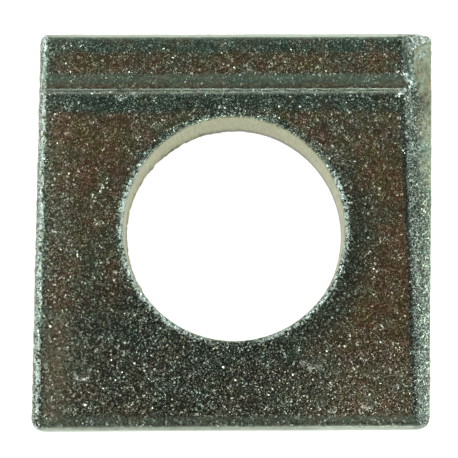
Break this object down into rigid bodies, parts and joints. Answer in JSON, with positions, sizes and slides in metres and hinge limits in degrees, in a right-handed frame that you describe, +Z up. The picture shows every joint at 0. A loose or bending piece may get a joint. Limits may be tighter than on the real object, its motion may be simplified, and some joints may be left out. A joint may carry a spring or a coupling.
{
  "type": "square taper washer",
  "caption": "Square wedge-shaped steel washer with a round bolt hole and a marking groove across its sloped face, for bolting through a sloped beam flange.",
  "frame": {"origin": "where the bore's axis meets the flat base", "axes": "+Z up along the bore's axis, from the flat base to the sloped face; +Y across the bar, towards the thick edge with the groove; +X along the rolled bar, towards the end with the wide drawn edge"},
  "size_m": [0.0328, 0.032, 0.0074],
  "materials": {
    "zinc_plated_steel": "bright zinc plate over rolled steel, with a fine pitted grain"
  },
  "bodies": {
    "root": {"taper_washer": "zinc_plated_steel"}
  },
  "joints": []
}
